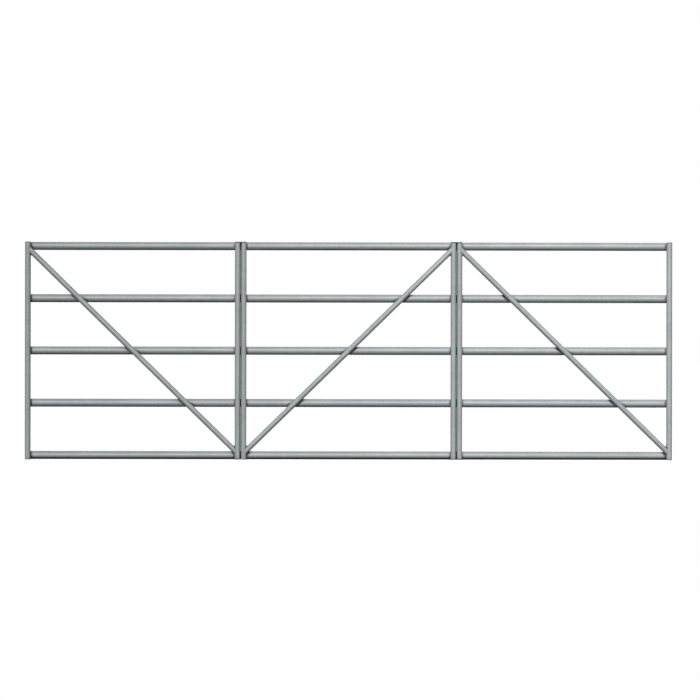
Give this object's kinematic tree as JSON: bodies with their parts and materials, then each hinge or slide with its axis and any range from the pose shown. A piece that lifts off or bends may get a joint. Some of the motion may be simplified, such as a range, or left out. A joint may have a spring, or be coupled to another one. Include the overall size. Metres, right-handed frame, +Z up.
{
  "type": "livestock panel",
  "caption": "Long folding panel of galvanised steel tube: braced, railed sections hinged end to end by pins and lift-out links, for penning livestock.",
  "frame": {"origin": "on the ground, in the middle of the panel's length and depth", "axes": "+X along the panel, to the right as seen from the braced front; +Y from the front to the back; +Z up"},
  "size_m": [3.6016, 0.0772, 1.212],
  "materials": {
    "galvanised_tube": "hot-dip galvanised, satin, faint spangle",
    "weld_metal": "galvanised over rippled weld",
    "hinge_steel": "zinc plated, dull",
    "link_steel": "zinc plated, dark and worn",
    "plug_plastic": "black polyethylene"
  },
  "bodies": {
    "middle_section": {"middle_left_post": "galvanised_tube", "middle_right_post": "galvanised_tube", "middle_bottom_rail": "galvanised_tube", "middle_lower_rail": "galvanised_tube", "middle_middle_rail": "galvanised_tube", "middle_upper_rail": "galvanised_tube", "middle_top_rail": "galvanised_tube", "middle_brace": "galvanised_tube", "middle_rail_plugs": "plug_plastic", "middle_weld_beads": "weld_metal", "left_pivot_plate": "hinge_steel", "left_pivot_pin": "hinge_steel", "left_plate_spigot": "hinge_steel", "left_keeper_bush": "hinge_steel", "right_pivot_plate": "hinge_steel", "right_pivot_pin": "hinge_steel", "right_plate_spigot": "hinge_steel", "right_keeper_bush": "hinge_steel"},
    "left_section": {"left_end_post": "galvanised_tube", "left_hinge_post": "galvanised_tube", "left_bottom_rail": "galvanised_tube", "left_lower_rail": "galvanised_tube", "left_middle_rail": "galvanised_tube", "left_upper_rail": "galvanised_tube", "left_top_rail": "galvanised_tube", "left_brace": "galvanised_tube", "left_rail_plugs": "plug_plastic", "left_weld_beads": "weld_metal", "left_foot_bush": "hinge_steel", "left_top_bush": "hinge_steel", "left_foot_socket": "hinge_steel", "left_top_socket": "hinge_steel"},
    "right_section": {"right_hinge_post": "galvanised_tube", "right_end_post": "galvanised_tube", "right_bottom_rail": "galvanised_tube", "right_lower_rail": "galvanised_tube", "right_middle_rail": "galvanised_tube", "right_upper_rail": "galvanised_tube", "right_top_rail": "galvanised_tube", "right_brace": "galvanised_tube", "right_rail_plugs": "plug_plastic", "right_weld_beads": "weld_metal", "right_foot_bush": "hinge_steel", "right_top_bush": "hinge_steel", "right_foot_socket": "hinge_steel", "right_top_socket": "hinge_steel"},
    "left_link": {"left_link_plate": "link_steel", "left_link_leaf_pin": "link_steel", "left_link_keeper_pin": "link_steel"},
    "right_link": {"right_link_plate": "link_steel", "right_link_leaf_pin": "link_steel", "right_link_keeper_pin": "link_steel"}
  },
  "joints": [
    {"name": "left_section_swing", "type": "hinge", "parent": "middle_section", "child": "left_section", "pos_m": [-0.6168, -0.02265, 0.606], "axis": [0, 0, 1], "range_deg": [0, 105]},
    {"name": "right_section_swing", "type": "hinge", "parent": "middle_section", "child": "right_section", "pos_m": [0.6168, -0.02265, 0.606], "axis": [0, 0, -1], "range_deg": [0, 105]},
    {"name": "left_link_lift", "type": "slide", "parent": "middle_section", "child": "left_link", "axis": [0, 0, 1], "range_m": [0, 0.06]},
    {"name": "right_link_lift", "type": "slide", "parent": "middle_section", "child": "right_link", "axis": [0, 0, 1], "range_m": [0, 0.06]}
  ]
}
